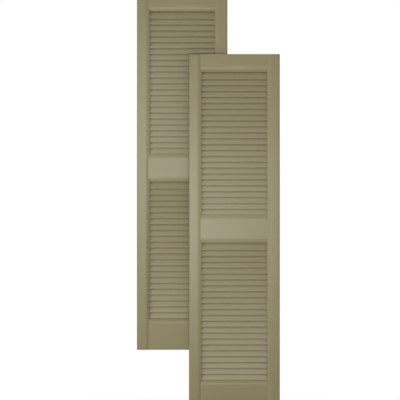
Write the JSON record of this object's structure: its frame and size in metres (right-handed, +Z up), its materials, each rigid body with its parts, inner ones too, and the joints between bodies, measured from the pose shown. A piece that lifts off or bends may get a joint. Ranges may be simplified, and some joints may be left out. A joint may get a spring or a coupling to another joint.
{
  "type": "louvred shutter pair",
  "caption": "Tall framed shutters with fixed sloping slats above and below a mid rail, a front one standing partly over a rear one.",
  "frame": {"origin": "centre of the rear shutter's back, in the middle of its four fixing holes", "axes": "+Z up the shutters, +Y out of their backs towards the wall, so the louvred faces look along -Y"},
  "size_m": [0.6, 0.07, 1.756],
  "materials": {
    "paint": "satin",
    "bare_wood": "matte"
  },
  "bodies": {
    "root": {"rear_left_stile": "paint", "rear_right_stile": "paint", "rear_top_rail": "paint", "rear_mid_rail": "paint", "rear_bottom_rail": "paint", "rear_upper_slats": "paint", "rear_lower_slats": "paint", "rear_top_rail_dowels": "bare_wood", "rear_mid_rail_dowels": "bare_wood", "rear_bottom_rail_dowels": "bare_wood", "front_left_stile": "paint", "front_right_stile": "paint", "front_top_rail": "paint", "front_mid_rail": "paint", "front_bottom_rail": "paint", "front_upper_slats": "paint", "front_lower_slats": "paint", "front_top_rail_dowels": "bare_wood", "front_mid_rail_dowels": "bare_wood", "front_bottom_rail_dowels": "bare_wood"}
  },
  "joints": []
}
